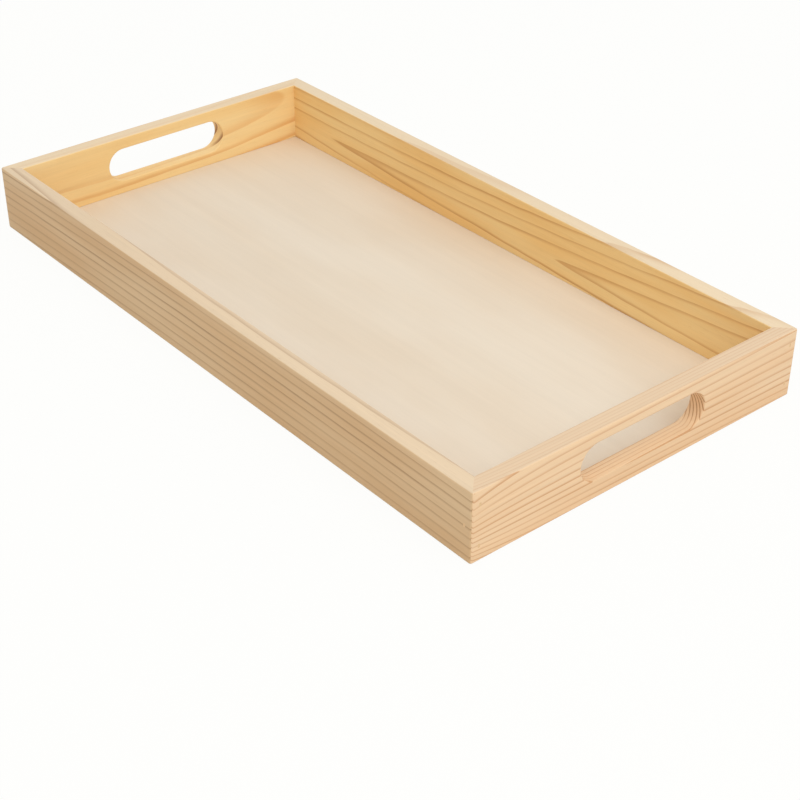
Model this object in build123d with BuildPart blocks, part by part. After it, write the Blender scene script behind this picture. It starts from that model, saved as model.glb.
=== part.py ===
from build123d import *
import os

# Wooden serving tray: four pine boards mitred at the corners round a thin plywood floor.
# The floor is let into a rabbet along the boards' lower inside edge and stapled from below.
# Each mitre is glued and pinned with three punched brads, filled over with wood putty.
# Each end board has a hand slot.
#
# Frame: the origin is at the centre of the footprint on the surface that the tray stands on,
# +X runs along the length, +Y across the width and +Z up. All sizes are in millimetres.

# ---------------------------------------------------------------- driving dimensions

TRAY_LENGTH = 480.0
TRAY_WIDTH = 250.0
TRAY_HEIGHT = 45.0
BOARD_THICKNESS = 11.0

# The floor is three-ply: a thick core with its grain across the tray between two thin veneers.
FACE_VENEER = 0.7
CORE_VENEER = 1.6
BACK_VENEER = 0.7
FLOOR_LANDING = 6.0          # how far the rabbet reaches into a board
FLOOR_CLEARANCE = 0.5        # gap between the floor's edge and the rabbet's wall, all round
FLOOR_RECESS = 0.2           # the floor's underside stays this far above the table

# Hand slots: the wood left above and below each one sets its height.
SLOT_LENGTH = 96.0
SLOT_RAIL = 8.5              # wood above the slot, which the fingers carry
SLOT_SILL = 9.3              # wood below the slot, down to the floor's landing

# Sanded edges
CORNER_RADIUS = 1.6          # upright outer corners
RIM_RADIUS = 1.0             # both top edges
FOOT_RADIUS = 1.2            # lower outer edge
SLOT_RADIUS = 0.9            # both mouths of a slot
LANDING_RADIUS = 0.4         # lower inner edge, which meets the floor

# Narrow-crown staples that hold the floor
STAPLE_CROWN = 5.8
STAPLE_LEG = 10.0
STAPLE_WIRE_WIDTH = 1.25
STAPLE_WIRE_THICKNESS = 1.05
STAPLE_TIP = 1.2             # length of a leg's chisel point
STAPLE_SHOULDER = 0.4        # flat across each bend of the crown
STAPLE_EDGE = 3.0            # from the floor's edge to the middle of a staple
SIDE_STAPLES = 5
SIDE_STAPLE_MARGIN = 44.5    # from the floor's end to the first staple of a long side
END_STAPLES = 3
END_STAPLE_MARGIN = 39.5     # from the floor's side to the first staple of an end

# T-headed brads that pin the mitres
BRAD_LENGTH = 20.0
BRAD_WIRE_WIDTH = 1.25
BRAD_WIRE_THICKNESS = 1.05
BRAD_HEAD_WIDTH = 2.0
BRAD_HEAD_THICKNESS = 0.6
BRAD_NECK = 0.5              # taper from the head to the wire
BRAD_TIP = 1.6
BRAD_SETBACK = 1.0           # the head is punched this far below the wood's face
LOW_BRAD = 10.0              # from the table to the lower brad of an end face
HIGH_BRAD = 9.0              # from the rim down to the upper brad of an end face
PUTTY_MARGIN = 0.2           # putty reaches this far past the head all round

# ---------------------------------------------------------------- sizes that follow

FLOOR_THICKNESS = FACE_VENEER + CORE_VENEER + BACK_VENEER
FLOOR_TOP = FLOOR_RECESS + FLOOR_THICKNESS
RABBET_INSET = BOARD_THICKNESS - FLOOR_LANDING
WELL_LENGTH = TRAY_LENGTH - 2 * BOARD_THICKNESS
WELL_WIDTH = TRAY_WIDTH - 2 * BOARD_THICKNESS
RABBET_LENGTH = TRAY_LENGTH - 2 * RABBET_INSET
RABBET_WIDTH = TRAY_WIDTH - 2 * RABBET_INSET
FLOOR_LENGTH = RABBET_LENGTH - 2 * FLOOR_CLEARANCE
FLOOR_WIDTH = RABBET_WIDTH - 2 * FLOOR_CLEARANCE
SLOT_HEIGHT = TRAY_HEIGHT - FLOOR_TOP - SLOT_RAIL - SLOT_SILL
SLOT_MIDDLE = FLOOR_TOP + SLOT_SILL + SLOT_HEIGHT / 2

# Both mitres of a board meet on the tray's long centre line, this far from its middle.
MITRE_MEETING = (TRAY_LENGTH - TRAY_WIDTH) / 2


# ---------------------------------------------------------------- staples

def staple_places():
    """Return the place of each staple: its crown's outer face, with its width along the edge."""
    side_run = FLOOR_LENGTH - 2 * SIDE_STAPLE_MARGIN
    end_run = FLOOR_WIDTH - 2 * END_STAPLE_MARGIN
    side_y = FLOOR_WIDTH / 2 - STAPLE_EDGE
    end_x = FLOOR_LENGTH / 2 - STAPLE_EDGE
    places = []
    for index in range(SIDE_STAPLES):
        x = side_run * (index / (SIDE_STAPLES - 1) - 0.5)
        places.append(Location((x, side_y, FLOOR_RECESS)))
        places.append(Location((x, -side_y, FLOOR_RECESS)))
    for index in range(END_STAPLES):
        y = end_run * (index / (END_STAPLES - 1) - 0.5)
        places.append(Location((end_x, y, FLOOR_RECESS), (0, 0, 90)))
        places.append(Location((-end_x, y, FLOOR_RECESS), (0, 0, 90)))
    return places


with BuildPart() as staple:
    half_crown = STAPLE_CROWN / 2
    with BuildSketch(Plane.XZ):
        with BuildLine():
            Polyline(
                (0, 0),
                (half_crown - STAPLE_SHOULDER, 0),
                (half_crown, STAPLE_SHOULDER),
                (half_crown, STAPLE_LEG - STAPLE_TIP),
                (half_crown - STAPLE_WIRE_WIDTH / 2, STAPLE_LEG),
                (half_crown - STAPLE_WIRE_WIDTH, STAPLE_LEG - STAPLE_TIP),
                (half_crown - STAPLE_WIRE_WIDTH, STAPLE_WIRE_WIDTH),
                (0, STAPLE_WIRE_WIDTH),
            )
            mirror(about=Plane.YZ)
        make_face()
    extrude(amount=STAPLE_WIRE_THICKNESS / 2, both=True)

with BuildPart() as base_staples:
    with Locations(*staple_places()):
        add(staple.part)


# ---------------------------------------------------------------- brads and putty

def brad_places(setback):
    """Return a place on each brad's axis, this far below the face, with +Z pointing out of it."""
    middle_of_side = TRAY_WIDTH / 2 - BOARD_THICKNESS / 2
    middle_of_end = TRAY_LENGTH / 2 - BOARD_THICKNESS / 2
    places = []
    for along in (-1, 1):
        for across in (-1, 1):
            for height in (LOW_BRAD, TRAY_HEIGHT - HIGH_BRAD):
                head = (along * (TRAY_LENGTH / 2 - setback), across * middle_of_side, height)
                places.append(Plane(origin=head, x_dir=(0, 0, 1), z_dir=(along, 0, 0)).location)
            head = (along * middle_of_end, across * (TRAY_WIDTH / 2 - setback), TRAY_HEIGHT / 2)
            places.append(Plane(origin=head, x_dir=(0, 0, 1), z_dir=(0, across, 0)).location)
    return places


with BuildPart() as brad:
    neck = BRAD_HEAD_THICKNESS + BRAD_NECK
    with BuildSketch(Plane.XZ):
        with BuildLine():
            Polyline(
                (0, 0),
                (BRAD_HEAD_WIDTH / 2, 0),
                (BRAD_HEAD_WIDTH / 2, -BRAD_HEAD_THICKNESS),
                (BRAD_WIRE_WIDTH / 2, -neck),
                (BRAD_WIRE_WIDTH / 2, BRAD_TIP - BRAD_LENGTH),
                (0, -BRAD_LENGTH),
            )
            mirror(about=Plane.YZ)
        make_face()
    extrude(amount=BRAD_WIRE_THICKNESS / 2, both=True)

with BuildPart() as corner_brads:
    with Locations(*brad_places(BRAD_SETBACK)):
        add(brad.part)

with BuildPart() as filler_plugs:
    plug_width = BRAD_HEAD_WIDTH + 2 * PUTTY_MARGIN
    plug_thickness = BRAD_WIRE_THICKNESS + 2 * PUTTY_MARGIN
    with Locations(*brad_places(BRAD_SETBACK)):
        Box(plug_width, plug_thickness, BRAD_SETBACK, align=(Align.CENTER, Align.CENTER, Align.MIN))


# ---------------------------------------------------------------- boards

def board_plan(*mitred_share):
    """Draw the share of the sanded frame, seen from above, that lies between two mitres."""
    RectangleRounded(TRAY_LENGTH, TRAY_WIDTH, CORNER_RADIUS)
    Rectangle(WELL_LENGTH, WELL_WIDTH, mode=Mode.SUBTRACT)
    Polygon(*mitred_share, align=None, mode=Mode.INTERSECT)


def cut_rabbet():
    """Cut the floor's landing out of the board being built."""
    on_the_table = (Align.CENTER, Align.CENTER, Align.MIN)
    Box(RABBET_LENGTH, RABBET_WIDTH, FLOOR_TOP, align=on_the_table, mode=Mode.SUBTRACT)


def ease_edges(board, grain, outwards):
    """Sand a board's edges round, but leave its mitres and its rabbet square.

    The grain is the axis along the board, and outwards the axis from the well to its outer face.
    """
    rim = board.faces().sort_by(Axis.Z)[-1].edges()
    fillet(rim.filter_by(grain) + rim.filter_by(GeomType.CIRCLE), radius=RIM_RADIUS)
    foot = board.faces().sort_by(Axis.Z)[0].edges()
    outer_edge = foot.filter_by(grain).sort_by(outwards)[-1]
    fillet([outer_edge] + foot.filter_by(GeomType.CIRCLE), radius=FOOT_RADIUS)
    landing = board.faces().filter_by(Axis.Z).sort_by(Axis.Z)[1].edges()
    fillet(landing.filter_by(grain).sort_by(outwards)[0], radius=LANDING_RADIUS)


def cut_fastener_holes():
    """Cut the room that the staples, the brads and the putty fill in the board being built."""
    add(base_staples.part, mode=Mode.SUBTRACT)
    add(corner_brads.part, mode=Mode.SUBTRACT)
    add(filler_plugs.part, mode=Mode.SUBTRACT)


with BuildPart() as front_side:
    with BuildSketch():
        board_plan(
            (-TRAY_LENGTH / 2, -TRAY_WIDTH / 2),
            (TRAY_LENGTH / 2, -TRAY_WIDTH / 2),
            (MITRE_MEETING, 0),
            (-MITRE_MEETING, 0),
        )
    extrude(amount=TRAY_HEIGHT)
    cut_rabbet()
    ease_edges(front_side, Axis.X, -Axis.Y)
    cut_fastener_holes()

with BuildPart() as back_side:
    mirror(front_side.part, about=Plane.XZ)

with BuildPart() as right_end:
    with BuildSketch():
        board_plan(
            (TRAY_LENGTH / 2, -TRAY_WIDTH / 2),
            (TRAY_LENGTH / 2, TRAY_WIDTH / 2),
            (MITRE_MEETING, 0),
        )
    extrude(amount=TRAY_HEIGHT)
    cut_rabbet()
    ease_edges(right_end, Axis.Y, Axis.X)
    with BuildSketch(Plane.YZ.offset(TRAY_LENGTH / 2)):
        with Locations((0, SLOT_MIDDLE)):
            SlotOverall(SLOT_LENGTH, SLOT_HEIGHT)
    extrude(amount=-BOARD_THICKNESS, mode=Mode.SUBTRACT)
    slot_mouths = right_end.edges(Select.LAST).filter_by(Axis.X, reverse=True)
    fillet(slot_mouths, radius=SLOT_RADIUS)
    cut_fastener_holes()

with BuildPart() as left_end:
    mirror(right_end.part, about=Plane.YZ)


# ---------------------------------------------------------------- floor

with BuildPart() as floor_back_veneer:
    with BuildSketch(Plane.XY.offset(FLOOR_RECESS)):
        Rectangle(FLOOR_LENGTH, FLOOR_WIDTH)
    extrude(amount=BACK_VENEER)
    add(base_staples.part, mode=Mode.SUBTRACT)

with BuildPart() as floor_core_veneer:
    with BuildSketch(Plane.XY.offset(FLOOR_RECESS + BACK_VENEER)):
        Rectangle(FLOOR_LENGTH, FLOOR_WIDTH)
    extrude(amount=CORE_VENEER)
    add(base_staples.part, mode=Mode.SUBTRACT)

with BuildPart() as floor_face_veneer:
    with BuildSketch(Plane.XY.offset(FLOOR_TOP - FACE_VENEER)):
        Rectangle(FLOOR_LENGTH, FLOOR_WIDTH)
    extrude(amount=FACE_VENEER)
    add(base_staples.part, mode=Mode.SUBTRACT)


# ---------------------------------------------------------------- export

os.makedirs("parts", exist_ok=True)

front_side.part.label = "front_side"
export_step(front_side.part, "parts/front_side.step")
back_side.part.label = "back_side"
export_step(back_side.part, "parts/back_side.step")
right_end.part.label = "right_end"
export_step(right_end.part, "parts/right_end.step")
left_end.part.label = "left_end"
export_step(left_end.part, "parts/left_end.step")
floor_face_veneer.part.label = "floor_face_veneer"
export_step(floor_face_veneer.part, "parts/floor_face_veneer.step")
floor_core_veneer.part.label = "floor_core_veneer"
export_step(floor_core_veneer.part, "parts/floor_core_veneer.step")
floor_back_veneer.part.label = "floor_back_veneer"
export_step(floor_back_veneer.part, "parts/floor_back_veneer.step")
base_staples.part.label = "base_staples"
export_step(base_staples.part, "parts/base_staples.step")
corner_brads.part.label = "corner_brads"
export_step(corner_brads.part, "parts/corner_brads.step")
filler_plugs.part.label = "filler_plugs"
export_step(filler_plugs.part, "parts/filler_plugs.step")
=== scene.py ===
"""Looks of a mitred pine serving tray: its boards, floor, fasteners, finishes, light and camera."""

import logging
import math
from collections.abc import Callable
from dataclasses import dataclass
from enum import Enum

import bpy
from mathutils import Matrix, Vector


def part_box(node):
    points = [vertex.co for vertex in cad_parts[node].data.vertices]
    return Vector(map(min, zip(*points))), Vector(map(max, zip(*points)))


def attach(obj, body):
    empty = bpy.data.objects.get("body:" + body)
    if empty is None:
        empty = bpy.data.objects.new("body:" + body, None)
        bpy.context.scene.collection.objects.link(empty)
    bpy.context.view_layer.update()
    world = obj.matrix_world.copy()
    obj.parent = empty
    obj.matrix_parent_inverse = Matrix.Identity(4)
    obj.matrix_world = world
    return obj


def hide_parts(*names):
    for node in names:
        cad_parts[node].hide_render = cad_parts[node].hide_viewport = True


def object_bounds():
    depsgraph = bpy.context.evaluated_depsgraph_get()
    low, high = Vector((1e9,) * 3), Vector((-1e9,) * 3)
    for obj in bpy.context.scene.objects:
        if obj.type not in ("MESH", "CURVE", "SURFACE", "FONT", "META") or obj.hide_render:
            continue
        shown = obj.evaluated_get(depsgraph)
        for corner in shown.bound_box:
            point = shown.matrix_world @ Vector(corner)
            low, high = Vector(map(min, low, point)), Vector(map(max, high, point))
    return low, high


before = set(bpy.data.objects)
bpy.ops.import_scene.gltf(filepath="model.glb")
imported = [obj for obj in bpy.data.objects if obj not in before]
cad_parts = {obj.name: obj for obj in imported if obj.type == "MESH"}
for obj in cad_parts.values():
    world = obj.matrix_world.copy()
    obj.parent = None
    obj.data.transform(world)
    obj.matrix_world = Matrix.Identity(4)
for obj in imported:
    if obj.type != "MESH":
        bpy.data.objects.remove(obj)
CAD_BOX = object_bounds()

log = logging.getLogger("serving_tray")
MM = 0.001
WELD = 0.001 * MM                    # points nearer than this are one point
TIGHT = 0.01 * MM                    # how exactly an edge lies where a test looks for it
FLAT_ANGLE = math.radians(0.3)       # faces that turn less than this are one flat face
SMOOTH_ANGLE = math.radians(40)      # edges that turn less than this are shaded smooth
Socket = bpy.types.NodeSocket
Place = tuple[Socket, Socket, Socket]
Colour = tuple[float, float, float]
EdgeTest = Callable[[Vector, Vector], bool]


def srgb(red: int, green: int, blue: int) -> Colour:
    """Turn a display colour of 0 to 255 into the linear colour that a shader takes.

    Args:
        red, green, blue: The display colour.

    Returns:
        The linear colour.
    """
    shares = (red / 255, green / 255, blue / 255)
    return tuple(s / 12.92 if s <= 0.04045 else ((s + 0.055) / 1.055) ** 2.4 for s in shares)


# ---------------------------------------------------------------- drawing materials


class ShaderPen:
    """Draws the nodes of one material, so that a finish reads as a list of steps."""

    def __init__(self, name: str) -> None:
        """Start an empty material.

        Args:
            name: The material's name.
        """
        self.material = bpy.data.materials.new(name)
        self.material.use_nodes = True
        self.tree = self.material.node_tree
        self.tree.nodes.clear()
        self.output = self.node("ShaderNodeOutputMaterial")

    def node(self, kind: str, **settings: object) -> bpy.types.Node:
        """Add a node.

        Args:
            kind: The node's type.
            settings: Its properties by name.

        Returns:
            The node.
        """
        made = self.tree.nodes.new(kind)
        for name, value in settings.items():
            setattr(made, name, value)
        return made

    def feed(self, entry: Socket, value: object) -> None:
        """Link a socket to an entry, or set the entry's own value.

        Args:
            entry: The input that is fed.
            value: A socket, a number or a colour.
        """
        if isinstance(value, bpy.types.NodeSocket):
            self.tree.links.new(value, entry)
        elif entry.type == "RGBA":
            entry.default_value = (*value, 1.0)
        else:
            entry.default_value = value

    def math(self, operation: str, *values: object) -> Socket:
        """Join numbers by one operation.

        Args:
            operation: The math node's operation.
            values: Sockets or plain numbers.

        Returns:
            The result.
        """
        made = self.node("ShaderNodeMath", operation=operation)
        for entry, value in zip(made.inputs, values):
            self.feed(entry, value)
        return made.outputs[0]

    def scaled(self, value: Socket, factor: float, offset: float = 0.0) -> Socket:
        """Return value times factor plus offset."""
        return self.math("MULTIPLY_ADD", value, factor, offset)

    def ramp(self, value: Socket, low: float, high: float, start: float = 0.0, end: float = 1.0) -> Socket:
        """Step smoothly from one number to another.

        Args:
            value: What the step follows.
            low: Where the step begins.
            high: Where it ends.
            start: The result below low.
            end: The result above high.

        Returns:
            The step's result.
        """
        made = self.node("ShaderNodeMapRange", interpolation_type="SMOOTHSTEP")
        for entry, number in zip(made.inputs, (value, low, high, start, end)):
            self.feed(entry, number)
        return made.outputs[0]

    def mix(self, share: object, low: object, high: object, blend: str = "MIX") -> Socket:
        """Blend two colours.

        Args:
            share: How much of the second colour shows, from 0 to 1.
            low: The first colour.
            high: The second colour.
            blend: The mix node's way of blending.

        Returns:
            The blended colour.
        """
        made = self.node("ShaderNodeMix", data_type="RGBA", blend_type=blend)
        entries = [entry for entry in made.inputs if entry.enabled]
        for entry, value in zip(entries, (share, low, high)):
            self.feed(entry, value)
        return next(result for result in made.outputs if result.enabled)

    def shade(self, colour: object, level: Socket) -> Socket:
        """Darken or lighten a colour by a level around 1 and return it."""
        return self.mix(1.0, colour, self.vector(level, level, level), "MULTIPLY")

    def vector(self, x: object, y: object, z: object) -> Socket:
        """Join three numbers into a vector.

        Args:
            x, y, z: The vector's parts, each a socket or a number.

        Returns:
            The vector.
        """
        made = self.node("ShaderNodeCombineXYZ")
        for entry, value in zip(made.inputs, (x, y, z)):
            self.feed(entry, value)
        return made.outputs[0]

    def split(self, vector: Socket) -> Place:
        """Take a vector apart.

        Args:
            vector: The vector.

        Returns:
            Its three parts.
        """
        made = self.node("ShaderNodeSeparateXYZ")
        self.feed(made.inputs[0], vector)
        return tuple(made.outputs)

    def place(self) -> Place:
        """Find the point in the tray's frame.

        Returns:
            Its X, Y and Z, in millimetres.
        """
        made = self.node("ShaderNodeVectorMath", operation="SCALE")
        self.feed(made.inputs[0], self.node("ShaderNodeTexCoord").outputs["Object"])
        made.inputs["Scale"].default_value = 1 / MM
        return self.split(made.outputs[0])

    def facing(self) -> Place:
        """Return how far the surface faces X, Y and Z, each from 0 to 1 without its sign."""
        normal = self.split(self.node("ShaderNodeTexCoord").outputs["Normal"])
        return tuple(self.math("ABSOLUTE", part) for part in normal)

    def noise(self, vector: Socket, detail: float) -> Socket:
        """Make soft noise that changes once in about one unit of the vector.

        Args:
            vector: Where the noise is read.
            detail: How many finer layers it has.

        Returns:
            Noise from 0 to 1, mostly near 0.5.
        """
        made = self.node("ShaderNodeTexNoise")
        self.feed(made.inputs["Vector"], vector)
        made.inputs["Scale"].default_value = 1.0
        made.inputs["Detail"].default_value = detail
        return made.outputs[0]

    def streaks(self, run: Socket, across: Socket, depth: Socket, size: tuple[float, float],
                detail: float = 2.0, seed: float = 0.0) -> Socket:
        """Return noise drawn out along the grain.

        Args:
            run: Place along the grain, in millimetres.
            across: Place across the grain.
            depth: Place through the thickness.
            size: Length and width of a streak, in millimetres.
            detail: How many finer layers the noise has.
            seed: Moves the pattern, so that no two pieces share it.

        Returns:
            Noise from 0 to 1, mostly near 0.5.
        """
        length, width = size
        return self.noise(
            self.vector(
                self.scaled(run, 1 / length, seed),
                self.scaled(across, 1 / width, seed),
                self.scaled(depth, 1 / width, seed),
            ),
            detail,
        )

    def finish(self, colour: object, roughness: object, height: Socket | None = None,
               relief: float = 0.0, metallic: float = 0.0, specular: float = 0.5) -> bpy.types.Material:
        """Close the material with a principled shader.

        Args:
            colour: The surface colour.
            roughness: How matt the surface is.
            height: The relief's pattern, from 0 to 1.
            relief: The relief's height in metres.
            metallic: 1 for bare metal.
            specular: Specular level of the shader.

        Returns:
            The finished material.
        """
        shader = self.node("ShaderNodeBsdfPrincipled")
        self.feed(shader.inputs["Base Color"], colour)
        self.feed(shader.inputs["Roughness"], roughness)
        shader.inputs["Metallic"].default_value = metallic
        shader.inputs["Specular IOR Level"].default_value = specular
        if height is not None:
            bump = self.node("ShaderNodeBump")
            bump.inputs["Strength"].default_value = 1.0
            bump.inputs["Distance"].default_value = relief
            self.feed(bump.inputs["Height"], height)
            self.feed(shader.inputs["Normal"], bump.outputs[0])
        self.tree.links.new(shader.outputs[0], self.output.inputs["Surface"])
        return self.material


# ---------------------------------------------------------------- pine


LATE_BLEND = 12.0   # length over which a board's later taper sets in, in millimetres


class Side(Enum):
    """The four boards of the frame, each with the way its outer face looks."""

    FRONT = (0, -1)
    BACK = (0, 1)
    RIGHT = (1, 0)
    LEFT = (-1, 0)

    @property
    def long(self) -> bool:
        """Tell whether the board runs along the tray's length."""
        return self.value[0] == 0


@dataclass(frozen=True)
class Log:
    """Where a board lay in its tree, in millimetres: run along it, depth from its outer face, height.

    The rings are shells round the pith. Each lies one ring further from it than the last.
    """

    pith_depth: float
    pith_height: float
    ring: float
    line_at: tuple[float, float, float]      # run, depth and height of a point on a dark line
    bow: float = 0.0                         # how far the rings bend up at the board's ends
    bow_middle: float = 0.0                  # run where that bend starts
    swell: float = 0.0                       # how fast the board leaves the pith along its run
    swell_middle: float = 0.0                # run where the board is nearest the pith
    taper: float = 0.0                       # rings narrow towards the top of the tree
    late_taper: float = 0.0                  # more taper, from this board's middle on
    near_fan: float = 0.0                    # how much rings close up towards the run's low end
    near_reach: float = 27.0                 # how far from that end they begin to
    near_height: float = 16.5                # height that they close up to
    far_fan: float = 0.0                     # the same towards the run's high end
    far_reach: float = 100.0
    far_height: float = 24.0


@dataclass(frozen=True)
class PineFinish:
    """Bare sanded pine whose rings run through the whole board."""

    name: str
    side: Side
    log: Log
    early: Colour                            # the wide pale part of a ring
    late: Colour                             # its dark edge
    warm: Colour                             # deeper tone that comes and goes between the rings
    top_highlight: Colour                              # painted highlight: pale tone of the top faces, standing in for light from above
    end_grain: Colour                        # dark rings where the grain is cut across
    line_width: float = 0.2                  # share of a ring that darkens
    line_depth: float = 0.8                  # how dark the strongest lines are
    wobble: float = 0.5                      # how far the rings wander, in millimetres
    wobble_size: tuple[float, float] = (38.0, 14.0)
    uneven: float = 0.3                      # how much the rings differ in width
    top_highlight_share: float = 0.85                  # how much of the painted highlight shows on the top faces
    top_highlight_fading: float = 0.35                 # how much weaker lines are under the painted highlight
    top_highlight_from: float = 40.0                   # height at which the painted highlight sets in
    top_highlight_full: float = 44.0                   # height at which it is full
    end_share: float = 0.55                  # how much deeper the tone of end grain is
    end_lines: float = 0.9                   # how dark its rings are
    fibre_contrast: float = 0.16
    band_contrast: float = 0.12
    pore_share: float = 0.22                 # how dark the short resin pores are
    relief: float = 0.05 * MM                # how far the hard edge of a ring stands out
    seed: float = 0.0                        # moves the patterns, so that no boards share them

    def axes(self, pen: ShaderPen) -> Place:
        """Find the point's place in the board.

        Args:
            pen: The material's pen.

        Returns:
            Run, depth from the outer face and height, in millimetres.
        """
        x, y, z = pen.place()
        along, across = (x, y) if self.side.long else (y, x)
        outer = CAD_BOX[1].y if self.side.long else CAD_BOX[1].x
        return along, pen.scaled(across, -sum(self.side.value), outer / MM), z

    def bent_height(self, run: float, height: float) -> float:
        """Work out the height that the rings' shells see at a point, as the nodes do.

        Args:
            run: The point's place along the board, in millimetres.
            height: Its height.

        Returns:
            The height after the board's fans and bow.
        """
        g = self.log
        half = self.half_run
        near = g.near_fan * math.exp(-(run + half) / g.near_reach) * (height - g.near_height)
        far = g.far_fan * math.exp((run - half) / g.far_reach) * (height - g.far_height)
        return height + near + far - g.bow * ((run - g.bow_middle) / half) ** 2

    @property
    def half_run(self) -> float:
        """Half the board's length, in millimetres."""
        return (CAD_BOX[1].x if self.side.long else CAD_BOX[1].y) / MM

    def phase(self) -> float:
        """Work out what puts a ring's dark edge through the point that the log names.

        Returns:
            What is added to the count of rings.
        """
        g = self.log
        run, depth, height = g.line_at
        reach = math.hypot(
            self.bent_height(run, height) - g.pith_height,
            depth - g.pith_depth,
            g.swell * (run - g.swell_middle),
        )
        taper = g.taper * run + g.late_taper * (run + math.hypot(run, LATE_BLEND)) / 2
        return -(reach - taper) / g.ring

    def rings(self, pen: ShaderPen, run: Socket, depth: Socket, height: Socket) -> Socket:
        """Count the rings between the pith and the point.

        Args:
            pen: The material's pen.
            run, depth, height: The point's place in the board.

        Returns:
            The count, which is whole at the dark edge of a ring.
        """
        g = self.log
        half = self.half_run
        wander = pen.streaks(run, height, depth, self.wobble_size, 2.0, self.seed)
        bent = pen.math("ADD", height, pen.scaled(wander, 2 * self.wobble, -self.wobble))
        if g.near_fan:
            fade = pen.math("EXPONENT", pen.scaled(run, -1 / g.near_reach, -half / g.near_reach))
            lift = pen.math("MULTIPLY", fade, pen.scaled(height, g.near_fan, -g.near_fan * g.near_height))
            bent = pen.math("ADD", bent, lift)
        if g.far_fan:
            fade = pen.math("EXPONENT", pen.scaled(run, 1 / g.far_reach, -half / g.far_reach))
            lift = pen.math("MULTIPLY", fade, pen.scaled(height, g.far_fan, -g.far_fan * g.far_height))
            bent = pen.math("ADD", bent, lift)
        from_bow = pen.scaled(run, 1 / half, -g.bow_middle / half)
        bent = pen.math("MULTIPLY_ADD", pen.math("MULTIPLY", from_bow, from_bow), -g.bow, bent)
        up = pen.math("SUBTRACT", bent, g.pith_height)
        out = pen.math("SUBTRACT", depth, g.pith_depth)
        off = pen.scaled(run, g.swell, -g.swell * g.swell_middle)
        square = pen.math("MULTIPLY_ADD", out, out, pen.math("MULTIPLY", up, up))
        reach = pen.math("SQRT", pen.math("MULTIPLY_ADD", off, off, square))
        reach = pen.math("MULTIPLY_ADD", run, -g.taper, reach)
        late = pen.math("SQRT", pen.math("MULTIPLY_ADD", run, run, LATE_BLEND * LATE_BLEND))
        late = pen.math("MULTIPLY_ADD", run, 0.5, pen.scaled(late, 0.5))
        reach = pen.math("MULTIPLY_ADD", late, -g.late_taper, reach)
        return pen.scaled(reach, 1 / g.ring, self.phase())

    def uneven_rings(self, pen: ShaderPen, rings: Socket) -> Socket:
        """Shift the rings' edges, so that the rings differ in width.

        Args:
            pen: The material's pen.
            rings: The even count of rings.

        Returns:
            The uneven count.
        """
        made = pen.node("ShaderNodeTexNoise", noise_dimensions="1D")
        pen.feed(made.inputs["W"], pen.scaled(rings, 0.37, self.seed))
        made.inputs["Scale"].default_value = 1.0
        made.inputs["Detail"].default_value = 1.0
        even = pen.scaled(rings, 1.0, -self.uneven / 2)
        return pen.math("MULTIPLY_ADD", made.outputs[0], self.uneven, even)

    def edges(self, pen: ShaderPen, count: Socket) -> Socket:
        """Draw the dark edge of each ring: it darkens slowly and turns pale at once after it.

        Args:
            pen: The material's pen.
            count: The count of rings.

        Returns:
            1 on a dark edge and 0 in the pale wood.
        """
        share = pen.math("FRACT", count)
        rise = pen.ramp(share, 1 - self.line_width * 2.6, 1 - self.line_width * 0.35)
        drop = pen.ramp(share, 1 - self.line_width * 0.25, 1.0, 1.0, 0.0)
        return pen.math("MULTIPLY", pen.math("MULTIPLY", rise, rise), drop)

    def strength(self, pen: ShaderPen, count: Socket, run: Socket, depth: Socket, height: Socket) -> Socket:
        """Give each ring a strength of its own that comes and goes along it.

        Args:
            pen: The material's pen.
            count: The count of rings.
            run, depth, height: The point's place in the board.

        Returns:
            The strength, up to 1.
        """
        number = pen.node("ShaderNodeTexWhiteNoise", noise_dimensions="1D")
        pen.feed(number.inputs["W"], pen.math("FLOOR", pen.scaled(count, 1.0, self.seed)))
        own = pen.ramp(number.outputs["Value"], 0.0, 1.0, 0.55, 1.0)
        along = pen.ramp(pen.streaks(run, height, depth, (90.0, 9.0), 1.0, self.seed + 5), 0.3, 0.6, 0.6, 1.0)
        return pen.math("MULTIPLY", own, along)

    def material(self) -> bpy.types.Material:
        """Draw the finish.

        Returns:
            Its material.
        """
        pen = ShaderPen(self.name)
        run, depth, height = self.axes(pen)
        count = self.uneven_rings(pen, self.rings(pen, run, depth, height))
        edge = self.edges(pen, count)
        line = pen.math("MULTIPLY", edge, self.strength(pen, count, run, depth, height))

        facing = pen.facing()
        end_grain = pen.ramp(facing[0] if self.side.long else facing[1], 0.35, 0.95)
        # Painted highlight: a mask of the upward faces near the top, which are made pale as if lit from
        # above.
        top_highlight_mask = pen.math(
            "MULTIPLY", pen.ramp(facing[2], 0.5, 0.95), pen.ramp(height, self.top_highlight_from, self.top_highlight_full)
        )

        fibre = pen.streaks(run, height, depth, (26.0, 0.22), 3.0, self.seed + 11)
        band = pen.streaks(run, height, depth, (120.0, 2.6), 2.0, self.seed + 23)
        cloud = pen.streaks(run, height, depth, (150.0, 24.0), 2.0, self.seed + 31)
        pores = pen.ramp(pen.streaks(run, height, depth, (9.0, 0.34), 1.0, self.seed + 47), 0.68, 0.76)

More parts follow.
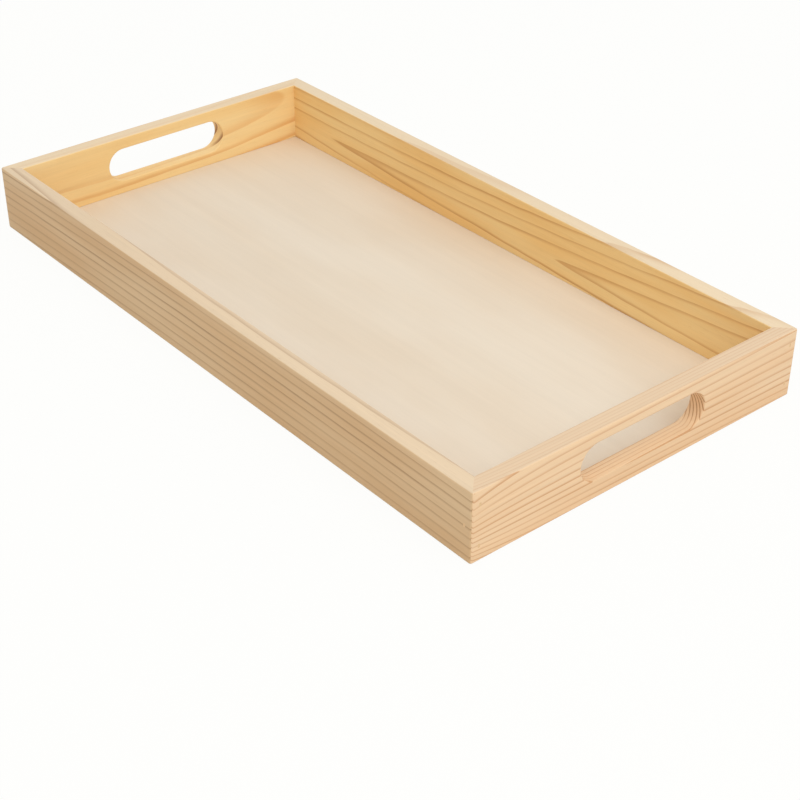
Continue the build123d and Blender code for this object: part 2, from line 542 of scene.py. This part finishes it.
        tone = pen.mix(pen.ramp(cloud, 0.3, 0.72), self.early, self.warm)
        # The painted highlight turns the top faces pale and fades their lines, standing in for light from
        # above.
        tone = pen.mix(pen.scaled(top_highlight_mask, self.top_highlight_share), tone, self.top_highlight)
        tone = pen.mix(pen.scaled(end_grain, self.end_share), tone, self.warm)
        depth_of_line = pen.scaled(top_highlight_mask, -self.top_highlight_fading, self.line_depth)
        tone = pen.mix(pen.math("MULTIPLY", line, depth_of_line), tone, self.late)
        end_edge = pen.math("MULTIPLY", end_grain, edge)
        tone = pen.mix(pen.scaled(end_edge, self.end_lines), tone, self.end_grain)
        tone = pen.shade(tone, pen.math(
            "ADD",
            pen.scaled(fibre, self.fibre_contrast, 1 - self.fibre_contrast / 2),
            pen.scaled(band, self.band_contrast, -self.band_contrast / 2),
        ))
        tone = pen.mix(pen.scaled(pores, self.pore_share), tone, self.late)
        roughness = pen.math("MULTIPLY_ADD", line, -0.07, pen.scaled(fibre, 0.12, 0.46))
        height_of_grain = pen.math("MULTIPLY_ADD", line, 0.6, pen.scaled(fibre, 0.5))
        return pen.finish(tone, roughness, height_of_grain, self.relief, specular=0.35)


# ---------------------------------------------------------------- other finishes


@dataclass(frozen=True)
class VeneerFinish:
    """Rotary-cut plywood veneer, pale and almost plain, with its grain along X or across it."""

    name: str
    pale: Colour
    tan: Colour
    grain_along_x: bool = True
    seed: float = 0.0

    def material(self) -> bpy.types.Material:
        """Draw the finish.

        Returns:
            Its material.
        """
        pen = ShaderPen(self.name)
        x, y, z = pen.place()
        run, across = (x, y) if self.grain_along_x else (y, x)
        cloud = pen.streaks(run, across, z, (170.0, 60.0), 3.0, self.seed)
        band = pen.streaks(run, across, z, (260.0, 5.0), 2.0, self.seed + 7)
        fibre = pen.streaks(run, across, z, (18.0, 0.3), 3.0, self.seed + 13)
        fleck = pen.ramp(pen.streaks(run, across, z, (5.0, 0.4), 1.0, self.seed + 19), 0.66, 0.78)
        tone = pen.mix(pen.ramp(cloud, 0.3, 0.75), self.pale, self.tan)
        tone = pen.shade(tone, pen.math("ADD", pen.scaled(fibre, 0.07, 0.965), pen.scaled(band, 0.06, -0.03)))
        tone = pen.mix(pen.scaled(fleck, 0.18), tone, self.tan)
        return pen.finish(tone, pen.scaled(fibre, 0.12, 0.5), fibre, 0.02 * MM, specular=0.3)


@dataclass(frozen=True)
class WireFinish:
    """Galvanised steel wire, drawn and slightly clouded."""

    name: str
    metal: Colour
    dull: Colour
    seed: float = 0.0

    def material(self) -> bpy.types.Material:
        """Draw the finish.

        Returns:
            Its material.
        """
        pen = ShaderPen(self.name)
        x, y, z = pen.place()
        cloud = pen.streaks(x, y, z, (1.6, 1.6), 3.0, self.seed)
        drawn = pen.streaks(x, y, z, (3.0, 0.12), 2.0, self.seed + 3)
        tone = pen.mix(pen.ramp(cloud, 0.35, 0.7), self.metal, self.dull)
        roughness = pen.math("ADD", pen.scaled(cloud, 0.2, 0.2), pen.scaled(drawn, 0.1))
        return pen.finish(tone, roughness, drawn, 0.01 * MM, metallic=1.0)


@dataclass(frozen=True)
class PuttyFinish:
    """Wood-flour putty, sanded flush with the board."""

    name: str
    paste: Colour
    grit: Colour
    seed: float = 0.0

    def material(self) -> bpy.types.Material:
        """Draw the finish.

        Returns:
            Its material.
        """
        pen = ShaderPen(self.name)
        x, y, z = pen.place()
        grain = pen.streaks(x, y, z, (0.5, 0.5), 3.0, self.seed)
        tone = pen.mix(pen.ramp(grain, 0.35, 0.7), self.paste, self.grit)
        return pen.finish(tone, pen.scaled(grain, 0.2, 0.6), grain, 0.03 * MM, specular=0.2)


# ---------------------------------------------------------------- modelling by operators


def only(*shapes: bpy.types.Object) -> None:
    """Select some objects and nothing else.

    Args:
        shapes: The objects, of which the first becomes the active one.
    """
    bpy.ops.object.select_all(action="DESELECT")
    for shape in shapes:
        shape.select_set(True)
    bpy.context.view_layer.objects.active = shapes[0]


def block(name: str, low: Vector, high: Vector) -> bpy.types.Object:
    """Add a block between two corners, with its place in its mesh.

    Args:
        name: The object's name.
        low: Its lowest corner, in metres.
        high: Its highest corner.

    Returns:
        The block.
    """
    bpy.ops.object.select_all(action="DESELECT")
    bpy.ops.mesh.primitive_cube_add(size=1, location=(low + high) / 2, scale=high - low)
    made = bpy.context.active_object
    made.name = name
    bpy.ops.object.transform_apply(location=True, rotation=True, scale=True)
    return made


def pick_edges(shape: bpy.types.Object, wanted: EdgeTest) -> int:
    """Select the edges that a test wants, with the object left in edit mode.

    Args:
        shape: The mesh object.
        wanted: Says of an edge's two end points whether the edge is wanted.

    Returns:
        How many edges were picked.
    """
    only(shape)
    bpy.ops.object.mode_set(mode="EDIT")
    bpy.ops.mesh.select_mode(type="EDGE")
    bpy.ops.mesh.select_all(action="DESELECT")
    bpy.ops.object.mode_set(mode="OBJECT")
    mesh = shape.data
    found = 0
    for edge in mesh.edges:
        ends = [mesh.vertices[i].co for i in edge.vertices]
        edge.select = bool(wanted(*ends))
        found += edge.select
    bpy.ops.object.mode_set(mode="EDIT")
    return found


def round_edges(shape: bpy.types.Object, wanted: EdgeTest, radius: float, segments: int) -> None:
    """Round the edges that a test wants.

    Args:
        shape: The mesh object.
        wanted: Says of an edge's two end points whether the edge is rounded.
        radius: How far the rounding reaches from the edge, in metres.
        segments: How many flats it is made of.
    """
    if pick_edges(shape, wanted):
        bpy.ops.mesh.bevel(offset=radius, offset_type="OFFSET", segments=segments, affect="EDGES")
    bpy.ops.object.mode_set(mode="OBJECT")


def carve(shape: bpy.types.Object, cutter: bpy.types.Object) -> None:
    """Cut one closed mesh out of another and delete the cutter.

    Args:
        shape: What is cut.
        cutter: What is taken away.
    """
    only(shape)
    bpy.ops.object.modifier_add(type="BOOLEAN")
    cut = shape.modifiers[-1]
    cut.operation = "DIFFERENCE"
    cut.solver = "EXACT"
    cut.object = cutter
    bpy.ops.object.modifier_apply(modifier=cut.name)
    bpy.data.objects.remove(cutter)


def merge_flats(shape: bpy.types.Object) -> None:
    """Merge the flat faces that cuts left in pieces.

    Args:
        shape: The mesh object.
    """
    only(shape)
    bpy.ops.object.mode_set(mode="EDIT")
    bpy.ops.mesh.select_all(action="SELECT")
    bpy.ops.mesh.remove_doubles(threshold=WELD)
    bpy.ops.mesh.dissolve_limited(angle_limit=FLAT_ANGLE)
    bpy.ops.object.mode_set(mode="OBJECT")


def cut_flat(shape: bpy.types.Object, point: Vector, away: Vector) -> None:
    """Cut a mesh with a plane and close the cut.

    Args:
        shape: The mesh object.
        point: A point of the plane.
        away: The way to the side that is thrown away.
    """
    only(shape)
    bpy.ops.object.mode_set(mode="EDIT")
    bpy.ops.mesh.select_all(action="SELECT")
    bpy.ops.mesh.bisect(plane_co=point, plane_no=away, use_fill=True, clear_outer=True)
    bpy.ops.object.mode_set(mode="OBJECT")


def smooth(shape: bpy.types.Object, material: bpy.types.Material) -> None:
    """Shade a finished mesh smoothly over its rounded edges and dress it.

    Args:
        shape: The mesh object.
        material: What it is made of.
    """
    only(shape)
    bpy.ops.object.mode_set(mode="EDIT")
    bpy.ops.mesh.select_all(action="SELECT")
    bpy.ops.mesh.normals_make_consistent(inside=False)
    bpy.ops.object.mode_set(mode="OBJECT")
    bpy.ops.object.shade_smooth_by_angle(angle=SMOOTH_ANGLE)
    bpy.ops.object.modifier_add(type="WEIGHTED_NORMAL")
    weighted = shape.modifiers[-1]
    weighted.keep_sharp = True
    weighted.weight = 100
    bpy.ops.object.modifier_apply(modifier=weighted.name)
    shape.data.materials.clear()
    shape.data.materials.append(material)


# ---------------------------------------------------------------- boards


@dataclass
class MitredFrame:
    """The four boards round the floor, cut from one sanded frame so that their mitres meet."""

    corner_radius: float = 1.6 * MM
    rim_radius: float = 1.0 * MM
    foot_radius: float = 1.2 * MM
    slot_radius: float = 0.9 * MM
    landing_radius: float = 0.4 * MM
    landing: float = 6.0 * MM
    slot_length: float = 96.0 * MM
    slot_rail: float = 8.5 * MM
    slot_sill: float = 9.3 * MM
    glue_line: float = 0.04 * MM

    def __post_init__(self) -> None:
        """Read the frame's outline, the boards' thickness and the floor's level off the CAD."""
        self.low, self.high = CAD_BOX
        end_low, end_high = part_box("right_end")
        self.board = end_high.x - end_low.x
        self.floor_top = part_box("floor_face_veneer")[1].z

    def inner(self, inset: float, bottom: float, top: float) -> tuple[Vector, Vector]:
        """Find the corners of a block that stands inside the outline.

        Args:
            inset: How far inside it stands.
            bottom: Its lower face's height.
            top: Its upper face's height.

        Returns:
            The lowest and the highest corner.
        """
        return (
            Vector((self.low.x + inset, self.low.y + inset, bottom)),
            Vector((self.high.x - inset, self.high.y - inset, top)),
        )

    def blank(self) -> bpy.types.Object:
        """Model the whole frame in one piece, with square edges but its upright corners rounded.

        Returns:
            The frame.
        """
        shape = block("frame_blank", self.low.copy(), self.high.copy())
        round_edges(shape, lambda a, b: abs(a.z - b.z) > self.board, self.corner_radius, 8)
        beyond = 10 * MM
        carve(shape, block("well", *self.inner(self.board, self.low.z - beyond, self.high.z + beyond)))
        rabbet = self.board - self.landing
        carve(shape, block("rabbet", *self.inner(rabbet, self.low.z - beyond, self.floor_top)))
        return shape

    def share(self, blank: bpy.types.Object, side: Side) -> bpy.types.Object:
        """Cut one board's share out of the blank, between its two mitres.

        Args:
            blank: The whole frame.
            side: Which board.

        Returns:
            The board, with square edges.
        """
        only(blank)
        bpy.ops.object.duplicate(linked=False)
        shape = bpy.context.active_object
        outwards = Vector((*side.value, 0))
        along = Vector((abs(side.value[1]), abs(side.value[0]), 0))
        for end in (-1, 1):
            corner = Vector((
                (side.value[0] or end) * self.high.x,
                (side.value[1] or end) * self.high.y,
                0,
            ))
            away = (along * end - outwards).normalized()
            cut_flat(shape, corner - away * self.glue_line, away)
        # The long sides' mitre planes meet inside the opposite board, so that tip goes too.
        cut_flat(shape, Vector(), -outwards)
        merge_flats(shape)
        return shape

    def slot_cutter(self, side: Side) -> bpy.types.Object:
        """Model the hand slot's round-ended bar, which reaches through an end board.

        Args:
            side: Which end.

        Returns:
            The bar.
        """
        bottom = self.floor_top + self.slot_sill
        top = self.high.z - self.slot_rail
        radius = (top - bottom) / 2
        bpy.ops.object.select_all(action="DESELECT")
        bpy.ops.mesh.primitive_cylinder_add(
            vertices=96, radius=radius, depth=4 * self.board, rotation=(0, math.pi / 2, 0),
            location=(side.value[0] * (self.high.x - self.board / 2), 0, (top + bottom) / 2),
        )
        bar = bpy.context.active_object
        bar.name = "slot_bar"
        bpy.ops.object.transform_apply(location=True, rotation=True, scale=True)
        stretch = self.slot_length / 2 - radius
        for half in (-1, 1):
            only(bar)
            bpy.ops.object.mode_set(mode="EDIT")
            bpy.ops.mesh.select_mode(type="VERT")
            bpy.ops.mesh.select_all(action="DESELECT")
            bpy.ops.object.mode_set(mode="OBJECT")
            for point in bar.data.vertices:
                point.select = point.co.y * half > TIGHT
            bpy.ops.object.mode_set(mode="EDIT")
            bpy.ops.transform.translate(value=(0, half * stretch, 0))
            bpy.ops.object.mode_set(mode="OBJECT")
        return bar

    def ease(self, shape: bpy.types.Object, side: Side) -> None:
        """Sand the board's edges round, each to its own radius, but leave its mitres square.

        Args:
            shape: The board.
            side: Which board it is.
        """
        outwards = Vector((*side.value, 0))
        outer = self.high.x if not side.long else self.high.y

        def in_outer_strip(a: Vector, b: Vector) -> bool:
            """Tell whether an edge lies on the outer face or on the rounded corner beside it."""
            return min(a.dot(outwards), b.dot(outwards)) > outer - self.corner_radius - TIGHT

        def level(a: Vector, b: Vector, height: float) -> bool:
            """Tell whether an edge lies at this height."""
            return abs(a.z - height) < TIGHT and abs(b.z - height) < TIGHT

        def off_mitre(a: Vector, b: Vector) -> bool:
            """Tell whether an edge runs along the board, as its corner's short steps also do.

            Args:
                a, b: The edge's end points.

            Returns:
                False for an edge that crosses the mitre.
            """
            across = abs((b - a).dot(outwards))
            if in_outer_strip(a, b):
                return across < 0.9 * (b - a).length
            return across < TIGHT

        def at_depth(a: Vector, b: Vector, depth: float) -> bool:
            """Tell whether an edge lies this far behind the outer face."""
            return all(abs(outer - depth - end.dot(outwards)) < TIGHT for end in (a, b))

        def on_slot(a: Vector, b: Vector) -> bool:
            """Tell whether an edge goes round a mouth of the slot.

            Args:
                a, b: The edge's end points.

            Returns:
                True for an edge of either mouth.
            """
            inside = max(abs(a.y), abs(b.y)) < self.slot_length / 2 + TIGHT
            between = self.floor_top + TIGHT < min(a.z, b.z) and max(a.z, b.z) < self.high.z - TIGHT
            return inside and between and (at_depth(a, b, 0) or at_depth(a, b, self.board))

        if not side.long:
            round_edges(shape, on_slot, self.slot_radius, 5)
        round_edges(
            shape,
            lambda a, b: level(a, b, self.high.z) and off_mitre(a, b)
            and (in_outer_strip(a, b) or at_depth(a, b, self.board)),
            self.rim_radius, 6,
        )
        round_edges(
            shape,
            lambda a, b: level(a, b, self.low.z) and off_mitre(a, b) and in_outer_strip(a, b),
            self.foot_radius, 6,
        )
        round_edges(
            shape,
            lambda a, b: level(a, b, self.floor_top) and at_depth(a, b, self.board),
            self.landing_radius, 3,
        )

    def pockets(self, shape: bpy.types.Object) -> None:
        """Cut the places that the fasteners and their filler take up out of a board.

        Args:
            shape: The board.
        """
        for node in ("corner_brads", "filler_plugs", "base_staples"):
            only(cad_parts[node])
            bpy.ops.object.duplicate(linked=False)
            cutter = bpy.context.active_object
            bpy.ops.object.mode_set(mode="EDIT")
            bpy.ops.mesh.select_all(action="SELECT")
            bpy.ops.mesh.remove_doubles(threshold=WELD)
            bpy.ops.object.mode_set(mode="OBJECT")
            carve(shape, cutter)

    def build(self, finishes: dict[Side, PineFinish]) -> None:
        """Model, dress and place the four boards.

        Args:
            finishes: The pine of each board.
        """
        names = {
            Side.FRONT: "front_side",
            Side.BACK: "back_side",
            Side.RIGHT: "right_end",
            Side.LEFT: "left_end",
        }
        blank = self.blank()
        for side, node in names.items():
            shape = self.share(blank, side)
            if not side.long:
                carve(shape, self.slot_cutter(side))
            self.ease(shape, side)
            self.pockets(shape)
            shape.name = f"{node}_board"
            shape.data.name = shape.name
            smooth(shape, finishes[side].material())
            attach(shape, "root")
            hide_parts(node)
            log.info("%s: %d faces", shape.name, len(shape.data.polygons))
        bpy.data.objects.remove(blank)


# ---------------------------------------------------------------- floor and fasteners


@dataclass
class Panel:
    """The three plies of the floor, which keep their CAD shape."""

    face: VeneerFinish
    core: VeneerFinish
    back: VeneerFinish

    def build(self) -> None:
        """Dress the plies."""
        for node, finish in (
            ("floor_face_veneer", self.face),
            ("floor_core_veneer", self.core),
            ("floor_back_veneer", self.back),
        ):
            dress(node, finish.material())


@dataclass
class Fasteners:
    """Staples, brads and putty, which keep their CAD shape."""

    staples: WireFinish
    brads: WireFinish
    putty: PuttyFinish

    def build(self) -> None:
        """Dress the fasteners."""
        dress("base_staples", self.staples.material())
        dress("corner_brads", self.brads.material())
        dress("filler_plugs", self.putty.material())


def dress(node: str, material: bpy.types.Material) -> None:
    """Dress a CAD node.

    Args:
        node: The node's name.
        material: What it is made of.
    """
    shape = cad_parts[node]
    shape.data.materials.clear()
    shape.data.materials.append(material)
    log.info("%s: dressed in %s", node, material.name)


# ---------------------------------------------------------------- studio


@dataclass
class Studio:
    """Pale floor, soft light and the camera."""

    sweep: float = 8.0                       # width of the floor, in metres
    azimuth: float = 50.19                   # where the camera stands, in degrees and metres
    elevation: float = 33.35
    distance: float = 0.9617
    roll: float = 0.24
    lens: float = 74.19
    aim: tuple[float, float] = (0.1001, -0.0551)     # what it looks at on the floor
    ambient: float = 0.76                    # strength of the light from all round
    key_power: float = 11.0
    key_azimuth: float = 80.0
    key_elevation: float = 55.0
    key_distance: float = 1.8
    key_size: float = 1.3
    floor_glow: float = 0.94                 # how much of the floor's shadow is whitened

    def away(self, azimuth: float, elevation: float) -> Vector:
        """Find a direction away from the tray.

        Args:
            azimuth: Degrees from the front round to the right end.
            elevation: Degrees above the floor.

        Returns:
            The direction, one unit long.
        """
        a, e = math.radians(azimuth), math.radians(elevation)
        return Vector((math.sin(a) * math.cos(e), -math.cos(a) * math.cos(e), math.sin(e)))

    def camera(self) -> None:
        """Place the camera."""
        back = self.away(self.azimuth, self.elevation)
        bpy.ops.object.camera_add()
        camera = bpy.context.active_object
        camera.name = "camera"
        camera.data.sensor_width = 36.0
        camera.data.lens = self.lens
        camera.data.dof.use_dof = False
        camera.data.clip_start = 0.01
        turn = (-back).to_track_quat("-Z", "Y").to_matrix().to_4x4()
        turn = turn @ Matrix.Rotation(math.radians(self.roll), 4, "Z")
        camera.matrix_world = Matrix.Translation(Vector((*self.aim, 0)) + back * self.distance) @ turn
        bpy.context.scene.camera = camera

    def ground(self) -> None:
        """Lay a white floor that keeps a faint shadow."""
        bpy.ops.object.select_all(action="DESELECT")
        bpy.ops.mesh.primitive_plane_add(size=self.sweep, location=(0, 0, -0.0001))
        plane = bpy.context.active_object
        plane.name = "studio_floor"
        pen = ShaderPen("studio_floor")
        paint = pen.node("ShaderNodeBsdfDiffuse")
        paint.inputs["Color"].default_value = (0.86, 0.86, 0.85, 1)
        glow = pen.node("ShaderNodeEmission")
        glow.inputs["Color"].default_value = (1.0, 1.0, 0.985, 1)
        both = pen.node("ShaderNodeMixShader")
        path = pen.node("ShaderNodeLightPath")
        pen.feed(both.inputs[0], pen.scaled(path.outputs["Is Camera Ray"], self.floor_glow))
        pen.feed(both.inputs[1], paint.outputs[0])
        pen.feed(both.inputs[2], glow.outputs[0])
        pen.feed(pen.output.inputs["Surface"], both.outputs[0])
        plane.data.materials.append(pen.material)

    def sky(self) -> None:
        """Light the tray evenly from all round, with white behind it."""
        world = bpy.data.worlds.new("studio")
        world.use_nodes = True
        bpy.context.scene.world = world
        tree = world.node_tree
        back = tree.nodes["Background"]
        path = tree.nodes.new("ShaderNodeLightPath")
        strength = tree.nodes.new("ShaderNodeMath")
        strength.operation = "MULTIPLY_ADD"
        strength.inputs[1].default_value = 1 - self.ambient
        strength.inputs[2].default_value = self.ambient
        tree.links.new(path.outputs["Is Camera Ray"], strength.inputs[0])
        tree.links.new(strength.outputs[0], back.inputs["Strength"])
        back.inputs["Color"].default_value = (1.0, 1.0, 1.0, 1)

    def key(self) -> None:
        """Hang a large soft lamp over the right end."""
        towards = self.away(self.key_azimuth, self.key_elevation)
        bpy.ops.object.light_add(type="AREA", location=towards * self.key_distance)
        lamp = bpy.context.active_object
        lamp.name = "key_lamp"
        lamp.data.shape = "SQUARE"
        lamp.data.size = self.key_size
        lamp.data.energy = self.key_power
        lamp.rotation_euler = (-towards).to_track_quat("-Z", "Y").to_euler()

    def build(self) -> None:
        """Set the studio up."""
        bpy.context.scene.view_settings.view_transform = "Standard"
        self.camera()
        self.ground()
        self.sky()
        self.key()


# ---------------------------------------------------------------- the tray's finishes


# Each board's rim colour is a painted highlight: the pale tone of its top faces stands in for light from
# above.
FRONT_PINE = PineFinish(
    name="pine_front", side=Side.FRONT, seed=3.1,
    log=Log(pith_depth=117, pith_height=-201, ring=5.2, line_at=(10, 0, 30.2), bow=-3.1, bow_middle=60),
    # These tones are darker than the other boards': painted shade for the front's outer face, which gets less
    # light.
    early=srgb(220, 188, 145), warm=srgb(213, 175, 128), late=srgb(160, 118, 76),
    top_highlight=srgb(233, 210, 178), end_grain=srgb(150, 100, 58), line_width=0.17, wobble=0.45,
)
BACK_PINE = PineFinish(
    name="pine_back", side=Side.BACK, seed=17.3,
    log=Log(pith_depth=13, pith_height=15.5, ring=8.2, line_at=(-200, 11, 36.0), bow=5.0,
            bow_middle=-10, taper=0.03, late_taper=0.025),
    early=srgb(246, 213, 150), warm=srgb(241, 196, 124), late=srgb(196, 138, 72),
    top_highlight=srgb(236, 216, 186), end_grain=srgb(150, 100, 58), line_width=0.15, wobble=0.9,
)
RIGHT_PINE = PineFinish(
    name="pine_right", side=Side.RIGHT, seed=29.7,
    log=Log(pith_depth=-128, pith_height=90, ring=2.15, line_at=(-48, 0, 25.0), near_fan=0.43, far_fan=-0.15),
    early=srgb(239, 207, 167), warm=srgb(235, 197, 153), late=srgb(198, 136, 80),
    top_highlight=srgb(228, 201, 168), end_grain=srgb(150, 92, 50), line_width=0.2, wobble=0.25,
)
LEFT_PINE = PineFinish(
    name="pine_left", side=Side.LEFT, seed=41.9,
    log=Log(pith_depth=-19, pith_height=38, ring=7.0, line_at=(-50, 11, 17.0), swell=0.135, swell_middle=-50),
    early=srgb(252, 222, 163), warm=srgb(248, 210, 144), late=srgb(222, 152, 70),
    top_highlight=srgb(236, 214, 182), end_grain=srgb(150, 100, 58), line_width=0.25, line_depth=0.6, wobble=1.0,
)
FACE_VENEER = VeneerFinish("veneer_face", srgb(236, 223, 203), srgb(232, 216, 193), True, 5.0)
CORE_VENEER = VeneerFinish("veneer_core", srgb(214, 190, 156), srgb(198, 168, 128), False, 11.0)
BACK_VENEER = VeneerFinish("veneer_back", srgb(226, 208, 184), srgb(212, 188, 158), True, 19.0)
STAPLE_WIRE = WireFinish("staple_wire", srgb(196, 197, 198), srgb(160, 160, 160), 2.0)
BRAD_WIRE = WireFinish("brad_wire", srgb(188, 189, 190), srgb(150, 150, 150), 7.0)
PUTTY = PuttyFinish("wood_putty", srgb(232, 198, 154), srgb(218, 178, 130), 4.0)


def main() -> None:
    """Build the tray's looks from the frame inwards, then the studio."""
    MitredFrame().build({
        Side.FRONT: FRONT_PINE, Side.BACK: BACK_PINE, Side.RIGHT: RIGHT_PINE, Side.LEFT: LEFT_PINE,
    })
    Panel(FACE_VENEER, CORE_VENEER, BACK_VENEER).build()
    Fasteners(STAPLE_WIRE, BRAD_WIRE, PUTTY).build()
    Studio().build()


if __name__ == "__main__":
    logging.basicConfig(level=logging.INFO, format="%(message)s")
    main()
